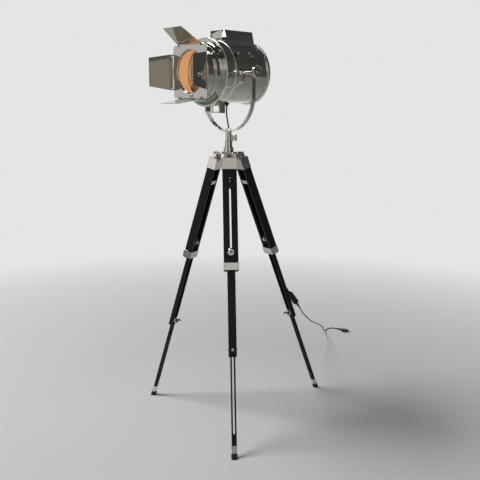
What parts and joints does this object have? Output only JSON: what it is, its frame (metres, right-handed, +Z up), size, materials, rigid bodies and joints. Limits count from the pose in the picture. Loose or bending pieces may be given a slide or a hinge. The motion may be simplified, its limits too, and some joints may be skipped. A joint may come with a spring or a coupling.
{
  "type": "tripod spotlight floor lamp",
  "caption": "Drum spotlight with a four-leaf barn door, tilting in a yoke on a sliding stem over three telescoping wooden legs, with an inline switch and cord.",
  "frame": {"origin": "on the floor, under the stem's axis", "axes": "+Z up along the stem; the head faces -Y; +X is the side of the lever knob, along the tilt axis"},
  "size_m": [0.7874, 1.5795, 1.6402],
  "materials": {
    "polished_metal": "polished nickel plate",
    "leaf_metal": "polished nickel plate on sheet",
    "fittings": "polished nickel plate on cast and turned parts",
    "dark_wood": "satin black stained hardwood",
    "rubber": "matt black",
    "glass": "clear glass with a green cast",
    "reflector": "warm satin metal",
    "bulb": "pearl glass",
    "black_plastic": "matt black",
    "cord": "smooth black jacket"
  },
  "bodies": {
    "base": {"hub": "fittings", "hub_collar": "fittings", "pivot_bolts": "fittings", "power_cord": "cord", "switch_body": "black_plastic", "plug": "black_plastic"},
    "thumb_screw": {"thumb_screw": "fittings"},
    "stem": {"stem": "fittings"},
    "yoke": {"yoke": "polished_metal"},
    "lever_knob": {"lever_knob": "fittings"},
    "far_knob": {"far_knob": "fittings"},
    "head": {"drum": "polished_metal", "flange": "polished_metal", "rear_cap": "polished_metal", "sleeve": "polished_metal", "lens_glass": "glass", "chimney": "polished_metal", "vent_covers": "polished_metal", "reflector": "reflector", "lamp_holder": "black_plastic", "bulb": "bulb", "head_screws": "fittings", "head_gland": "black_plastic", "lower_bracket": "fittings", "head_lead": "cord"},
    "barn_door": {"barn_plate": "polished_metal", "hinge_rods": "polished_metal"},
    "leaf_top": {"leaf_top": "leaf_metal"},
    "leaf_bottom": {"leaf_bottom": "leaf_metal"},
    "leaf_left": {"leaf_left": "leaf_metal"},
    "leaf_right": {"leaf_right": "leaf_metal"},
    "switch_rocker": {"switch_rocker": "black_plastic"},
    "leg_1_upper": {"leg_1_cap": "fittings", "leg_1_upper": "dark_wood", "leg_1_band": "fittings"},
    "leg_1_middle": {"leg_1_middle": "dark_wood"},
    "leg_1_lock": {"leg_1_lock": "fittings"},
    "leg_1_wing": {"leg_1_wing": "fittings"},
    "leg_1_lower": {"leg_1_lower": "dark_wood", "leg_1_shoe": "fittings", "leg_1_foot": "rubber"},
    "leg_2_upper": {"leg_2_cap": "fittings", "leg_2_upper": "dark_wood", "leg_2_band": "fittings", "leg_lead": "cord"},
    "leg_2_middle": {"leg_2_middle": "dark_wood"},
    "leg_2_lock": {"leg_2_lock": "fittings"},
    "leg_2_wing": {"leg_2_wing": "fittings"},
    "leg_2_lower": {"leg_2_lower": "dark_wood", "leg_2_shoe": "fittings", "leg_2_foot": "rubber"},
    "leg_3_upper": {"leg_3_cap": "fittings", "leg_3_upper": "dark_wood", "leg_3_band": "fittings"},
    "leg_3_middle": {"leg_3_middle": "dark_wood"},
    "leg_3_lock": {"leg_3_lock": "fittings"},
    "leg_3_wing": {"leg_3_wing": "fittings"},
    "leg_3_lower": {"leg_3_lower": "dark_wood", "leg_3_shoe": "fittings", "leg_3_foot": "rubber"}
  },
  "joints": [
    {"name": "leg_1_fold", "type": "hinge", "parent": "base", "child": "leg_1_upper", "pos_m": [0.0429, -0.036, 1.133], "axis": [0.6428, 0.766, 0], "range_deg": [0, 18.1]},
    {"name": "leg_1_middle_slide", "type": "slide", "parent": "leg_1_upper", "child": "leg_1_middle", "axis": [-0.2453, 0.2058, 0.9473], "range_m": [0, 0.26]},
    {"name": "leg_1_lower_slide", "type": "slide", "parent": "leg_1_middle", "child": "leg_1_lower", "axis": [-0.2453, 0.2058, 0.9473], "range_m": [0, 0.27]},
    {"name": "leg_1_lock_turn", "type": "hinge", "parent": "leg_1_middle", "child": "leg_1_lock", "pos_m": [0.13857, -0.11628, 0.76354], "axis": [0.7257, -0.6089, 0.3202], "continuous": true},
    {"name": "leg_1_wing_turn", "type": "hinge", "parent": "leg_1_middle", "child": "leg_1_wing", "pos_m": [0.23351, -0.19594, 0.39692], "axis": [0.7257, -0.6089, 0.3202], "continuous": true},
    {"name": "leg_2_fold", "type": "hinge", "parent": "base", "child": "leg_2_upper", "pos_m": [0.00972, 0.05515, 1.133], "axis": [-0.9848, 0.1736, 0], "range_deg": [0, 21], "deforming": ["leg_lead"]},
    {"name": "leg_2_middle_slide", "type": "slide", "parent": "leg_2_upper", "child": "leg_2_middle", "axis": [-0.064, -0.3628, 0.9297], "range_m": [0, 0.26]},
    {"name": "leg_2_lower_slide", "type": "slide", "parent": "leg_2_middle", "child": "leg_2_lower", "axis": [-0.064, -0.3628, 0.9297], "range_m": [0, 0.27]},
    {"name": "leg_2_lock_turn", "type": "hinge", "parent": "leg_2_middle", "child": "leg_2_lock", "pos_m": [0.03467, 0.19665, 0.77043], "axis": [0.1614, 0.9155, 0.3684], "continuous": true},
    {"name": "leg_2_wing_turn", "type": "hinge", "parent": "leg_2_middle", "child": "leg_2_wing", "pos_m": [0.05943, 0.33706, 0.41065], "axis": [0.1614, 0.9155, 0.3684], "continuous": true},
    {"name": "leg_3_fold", "type": "hinge", "parent": "base", "child": "leg_3_upper", "pos_m": [-0.05262, -0.01915, 1.133], "axis": [0.342, -0.9397, 0], "range_deg": [0, 16.8]},
    {"name": "leg_3_middle_slide", "type": "slide", "parent": "leg_3_upper", "child": "leg_3_middle", "axis": [0.2817, 0.1025, 0.954], "range_m": [0, 0.26]},
    {"name": "leg_3_lower_slide", "type": "slide", "parent": "leg_3_middle", "child": "leg_3_lower", "axis": [0.2817, 0.1025, 0.954], "range_m": [0, 0.27]},
    {"name": "leg_3_lock_turn", "type": "hinge", "parent": "leg_3_middle", "child": "leg_3_lock", "pos_m": [-0.16248, -0.05914, 0.76093], "axis": [-0.8965, -0.3263, 0.2998], "continuous": true},
    {"name": "leg_3_wing_turn", "type": "hinge", "parent": "leg_3_middle", "child": "leg_3_wing", "pos_m": [-0.27149, -0.09881, 0.39173], "axis": [-0.8965, -0.3263, 0.2998], "continuous": true},
    {"name": "stem_slide", "type": "slide", "parent": "base", "child": "stem", "axis": [0, 0, 1], "range_m": [-0.008, 0.12]},
    {"name": "thumb_screw_turn", "type": "hinge", "parent": "base", "child": "thumb_screw", "pos_m": [0, 0, 1.214], "axis": [0.6947, 0.7193, 0], "continuous": true},
    {"name": "yoke_pan", "type": "hinge", "parent": "stem", "child": "yoke", "pos_m": [0, 0, 1.24], "axis": [0, 0, 1], "range_deg": [-170, 170]},
    {"name": "head_tilt", "type": "hinge", "parent": "yoke", "child": "head", "pos_m": [0, 0, 1.4745], "axis": [1, 0, 0], "range_deg": [-30, 30], "deforming": ["head_lead"]},
    {"name": "lever_knob_turn", "type": "hinge", "parent": "yoke", "child": "lever_knob", "pos_m": [0.166, 0, 1.4745], "axis": [1, 0, 0], "continuous": true},
    {"name": "far_knob_turn", "type": "hinge", "parent": "yoke", "child": "far_knob", "pos_m": [-0.166, 0, 1.4745], "axis": [-1, 0, 0], "continuous": true},
    {"name": "barn_door_turn", "type": "hinge", "parent": "head", "child": "barn_door", "pos_m": [0, -0.17, 1.4745], "axis": [0, -1, 0], "range_deg": [-90, 90]},
    {"name": "leaf_top_swing", "type": "hinge", "parent": "barn_door", "child": "leaf_top", "pos_m": [0, -0.207, 1.579], "axis": [-1, 0, 0], "range_deg": [-49, 41]},
    {"name": "leaf_bottom_swing", "type": "hinge", "parent": "barn_door", "child": "leaf_bottom", "pos_m": [0, -0.207, 1.37], "axis": [1, 0, 0], "range_deg": [-25.5, 64.5]},
    {"name": "leaf_left_swing", "type": "hinge", "parent": "barn_door", "child": "leaf_left", "pos_m": [-0.1045, -0.207, 1.4745], "axis": [0, 0, -1], "range_deg": [-33, 57]},
    {"name": "leaf_right_swing", "type": "hinge", "parent": "barn_door", "child": "leaf_right", "pos_m": [0.1045, -0.207, 1.4745], "axis": [0, 0, 1], "range_deg": [-33, 57]},
    {"name": "switch_rocker_tip", "type": "hinge", "parent": "base", "child": "switch_rocker", "pos_m": [0.03432, 0.3799, 0.4565], "axis": [-0.1787, -0.7635, -0.6205], "range_deg": [-6, 6]}
  ]
}
